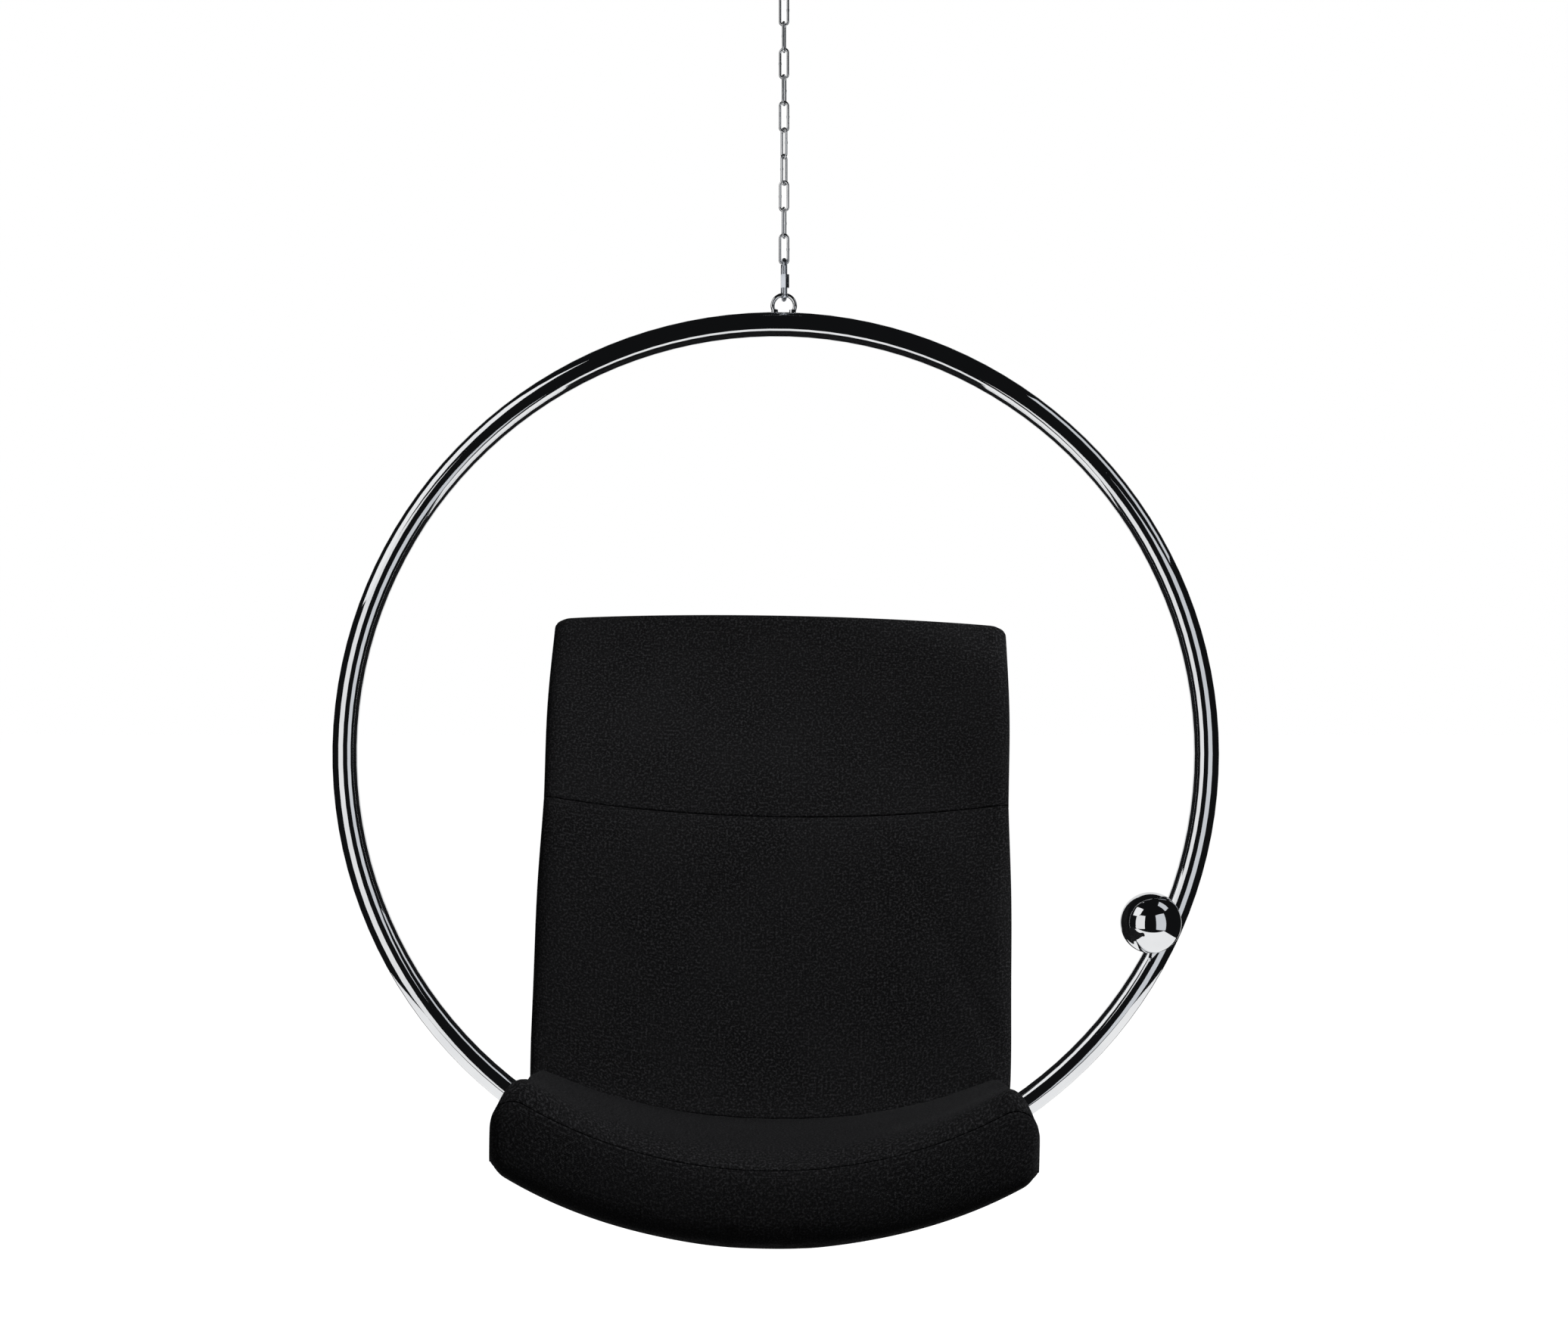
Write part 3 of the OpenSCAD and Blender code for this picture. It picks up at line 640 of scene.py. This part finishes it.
def stitches(name, line, out):
    """A row of thread stitches set on a line of points, each a small capsule sunk halfway into the cloth."""
    step, half_long, half_wide, half_high, sunk = 4.4, 1.5, 0.42, 0.36, 0.2
    profile = ((-1.0, 0.35), (-0.6, 0.85), (0.0, 1.0), (0.6, 0.85), (1.0, 0.35))
    sides = 6
    lengths = run_lengths(line)
    marks = np.arange(step, lengths[-1] - step, step)
    at = along_line(marks, lengths, line)
    a = unit(along_line(marks + 0.5, lengths, line) - at)
    n = unit(along_line(marks, lengths, out))
    b = np.cross(n, a)
    rings = []
    for t, r in profile:
        for k in range(sides):
            turn = 2 * math.pi * k / sides
            wide = b * half_wide * r * math.cos(turn)
            high = n * half_high * (r * math.sin(turn) - sunk)
            rings.append(at + a * half_long * t + wide + high)
    points = np.stack(rings, 1)
    faces = [tuple(range(sides - 1, -1, -1))]
    for i in range(len(profile) - 1):
        for k in range(sides):
            m = (k + 1) % sides
            faces.append((i * sides + k, i * sides + m, (i + 1) * sides + m, (i + 1) * sides + k))
    faces.append(tuple(range((len(profile) - 1) * sides, len(profile) * sides)))
    count = len(profile) * sides
    polygons = [tuple(q + count * stitch for q in f) for stitch in range(len(at)) for f in faces]
    mesh = bpy.data.meshes.new(name)
    mesh.from_pydata((points.reshape(-1, 3) * MM).tolist(), [], polygons)
    mesh.transform(seat_frame)
    mesh.shade_smooth()
    obj = bpy.data.objects.new(name, mesh)
    bpy.context.scene.collection.objects.link(obj)
    fix_normals(obj)
    paint(obj, thread)
    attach(obj, "swing")


field = crown_by_cloth()
faces = {
    "front": panel("front_upholstery", "front_pad", 0, FRONT_SEAM, field),
    "seat": panel("seat_upholstery", "seat_pad", FRONT_SEAM, BACK_SEAM, field),
    "back": panel("back_upholstery", "back_pad", BACK_SEAM, HEAD_SEAM, field),
    "head": panel("head_upholstery", "head_pad", HEAD_SEAM, LAST, field),
}
# Stitches follow a row of a panel's face just past the roll at its seam.
PAST_START = len(LADDER)
PAST_END = -len(LADDER) - 1
SEAM_INSET = 3
for name, which, row in (
    ("front_seam_stitches", "front", PAST_END),
    ("back_seam_stitches", "back", PAST_START),
    ("head_seam_stitches", "head", PAST_START),
    ("head_seam_stitches_lower", "back", PAST_END),
):
    face = faces[which]
    inner = slice(SEAM_INSET, -SEAM_INSET)
    stitches(name, face[row, inner], face_normals(face)[row, inner])


def shell_back(s, x):
    return shell_point(s, x, SHELL_T)


def back_panel():
    """The cloth behind the back: thin padding held in its border, with a piped edge."""
    row_step, side_round, end_round, puff_high, puff_run = 8.0, 1.6, 3.0, 1.6, 60.0
    cord_r, cord_depth, flat_inset, edge_steps = 1.7, SHELL_T + 1.4, 8, np.radians([0, 30, 60, 90])
    s = stations(BACK_SEAM + 1, LAST - 1, row_step, shell_back)
    half = SHELL_HALF - COVER_MARGIN
    edge = -half + side_round * (1 - np.cos(edge_steps))
    cols = np.concatenate((edge, np.linspace(-half + flat_inset, half - flat_inset, 60), -edge[::-1]))
    (l0, l1), fine, full = arc_length([s[0], s[-1]], shell_back)
    length = np.interp(s, fine, full)
    to_side = half - np.abs(cols)[None, :]
    to_end = np.minimum(length - l0, l1 - length)[:, None]
    near_edge = np.minimum(np.clip(to_side / side_round, 0, 1), np.clip(to_end / end_round, 0, 1))
    puff = puff_high * np.clip(np.minimum(to_side, to_end) / puff_run, 0, 1) ** 0.5
    thick = COVER_T * np.sqrt(1 - (1 - near_edge) ** 2) + puff
    top = shell_point(s[:, None], cols[None, :], SHELL_T + PAD_GAP)
    outward = shell_point(s[:, None], cols[None, :], SHELL_T + PAD_GAP + 1) - top
    face = top + outward * thick[..., None]
    rings = np.concatenate((face, top[:, ::-1]), 1)
    run = np.broadcast_to(np.concatenate((cols, cols[::-1]))[None, :], rings.shape[:2])
    m = len(cols)

    def end(ring):
        return across_ring(ring, list(range(m)), list(range(2 * m - 1, m - 1, -1)))

    obj = ring_loft("back_cover_upholstery", rings, across_and_along(run, length), end)
    paint(obj, cloth)
    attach(obj, "swing")
    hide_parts("back_cover")
    side = np.linspace(s[0], s[-1], 120)
    across = np.linspace(-half, half, 80)
    path = np.concatenate((
        shell_point(side, np.full(len(side), half), cord_depth),
        shell_point(np.full(len(across), s[-1]), across[::-1], cord_depth),
        shell_point(side[::-1], np.full(len(side), -half), cord_depth),
        shell_point(np.full(len(across), s[0]), across, cord_depth),
    ))
    piping(path, cord_r)


def piping(path, radius):
    """A closed piped edge of round cord in cloth, along a path in seat millimetres."""
    spacing, sides = 2, 12
    keep = [0]
    for k in range(1, len(path)):
        if np.linalg.norm(path[k] - path[keep[-1]]) > spacing:
            keep.append(k)
    path = path[keep]
    ahead = unit(np.roll(path, -1, 0) - np.roll(path, 1, 0))
    ref = unit(np.cross(ahead, path - path.mean(0)))
    across = np.cross(ref, ahead)
    turns = np.linspace(0, 2 * math.pi, sides, endpoint=False)
    circle = np.cos(turns)[None, :, None] * across[:, None] + np.sin(turns)[None, :, None] * ref[:, None]
    rings = path[:, None] + radius * circle
    rings = np.concatenate((rings, rings[:1]))
    run = np.broadcast_to(run_lengths(rings[:, 0])[:, None], rings.shape[:2])
    around = np.broadcast_to((turns * radius)[None, :], rings.shape[:2])
    weave = np.stack((run, around, np.zeros(rings.shape[:2])), -1)
    obj = ring_loft("back_cover_piping", rings, weave)
    paint(obj, cloth)
    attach(obj, "swing")


back_panel()

# ---------------------------------------------------------------- stage
scene = bpy.context.scene
scene.view_settings.view_transform = "Standard"
scene.view_settings.look = "None"
FLOOR_Z = -2.12

# The camera sees white paper beyond the floor, while the object is lit by a faint grey.
world = bpy.data.worlds.new("studio")
world.use_nodes = True
scene.world = world
tree = world.node_tree
sky = tree.nodes["Background"]
sky.inputs["Color"].default_value = (0.5, 0.52, 0.56, 1)
sky.inputs["Strength"].default_value = 0.012
paper = tree.nodes.new("ShaderNodeBackground")
paper.inputs["Color"].default_value = (1, 1, 1, 1)
paper.inputs["Strength"].default_value = 1.0
seen = tree.nodes.new("ShaderNodeLightPath")
choose = tree.nodes.new("ShaderNodeMixShader")
tree.links.new(seen.outputs["Is Camera Ray"], choose.inputs[0])
tree.links.new(sky.outputs[0], choose.inputs[1])
tree.links.new(paper.outputs[0], choose.inputs[2])
tree.links.new(choose.outputs[0], tree.nodes["World Output"].inputs["Surface"])


def glow(name, colour, strength, diffuse=(0, 0, 0)):
    """A lit surface for the stage."""
    material = bpy.data.materials.new(name)
    material.use_nodes = True
    shader = material.node_tree.nodes["Principled BSDF"]
    shader.inputs["Base Color"].default_value = (*diffuse, 1)
    shader.inputs["Roughness"].default_value = 1.0
    shader.inputs["Specular IOR Level"].default_value = 0.0
    shader.inputs["Emission Color"].default_value = (*colour, 1)
    shader.inputs["Emission Strength"].default_value = strength
    return material


def plane(name, centre, size, facing, material):
    """A rectangle of the stage."""
    w, h = size[0] / 2, size[1] / 2
    mesh = bpy.data.meshes.new(name)
    mesh.from_pydata([(-w, -h, 0), (w, -h, 0), (w, h, 0), (-w, h, 0)], [], [(0, 1, 2, 3)])
    obj = bpy.data.objects.new(name, mesh)
    obj.location = centre
    obj.rotation_euler = Vector(facing).to_track_quat("Z", "Y").to_euler()
    scene.collection.objects.link(obj)
    mesh.materials.append(material)
    return obj


floor_look = glow("floor", (1, 1, 1), 1.0, (0.8, 0.8, 0.8))
floor = plane("floor", (0, 0, FLOOR_Z), (80, 80), (0, 0, 1), floor_look)
floor.visible_glossy = False
floor.visible_diffuse = False

MIDDLE = Vector((0, -0.1, -1.1))
SEAT_AIM = Vector((0, -0.1, -1.25))
WHITE = (1, 1, 1)
COOL = (0.93, 0.96, 1.0)


def panel_light(name, centre, size, colour, strength, aim=MIDDLE):
    """A lit panel that only the chrome sees."""
    obj = plane(name, centre, size, aim - Vector(centre), glow(name, colour, strength))
    obj.visible_camera = False
    obj.visible_diffuse = False
    obj.visible_shadow = False


SWEEP_AT = Vector((0, -0.1, FLOOR_Z + 0.02))
panel_light("sweep", SWEEP_AT, (3.4, 2.6), WHITE, 0.95, aim=SWEEP_AT + Vector((0, 0, 1)))
panel_light("panel_front_left", (-1.75, -2.1, -1.0), (1.9, 2.6), WHITE, 0.9)
panel_light("panel_front_right", (1.7, -2.2, -1.0), (1.7, 2.6), COOL, 0.72)
panel_light("panel_high_left", (-1.7, -0.9, 0.5), (1.5, 1.5), WHITE, 1.0)
panel_light("panel_high_right", (1.8, -0.4, 0.6), (0.9, 1.2), COOL, 0.7)
panel_light("backdrop", (0.0, 2.9, -0.6), (4.2, 3.0), WHITE, 0.8)


def softbox(name, centre, size, power):
    """A soft light on the seat, which the chrome does not show."""
    data = bpy.data.lights.new(name, "AREA")
    data.shape = "RECTANGLE"
    data.size, data.size_y = size
    data.energy = power
    obj = bpy.data.objects.new(name, data)
    obj.location = centre
    obj.rotation_euler = (SEAT_AIM - Vector(centre)).to_track_quat("-Z", "Y").to_euler()
    obj.visible_camera = False
    obj.visible_glossy = False
    scene.collection.objects.link(obj)


softbox("key", (1.5, -1.35, 1.0), (0.9, 0.9), 62)
softbox("fill", (-2.0, -1.7, 0.5), (0.7, 0.7), 5)
softbox("rim", (1.9, 0.5, -1.2), (0.3, 1.2), 7)
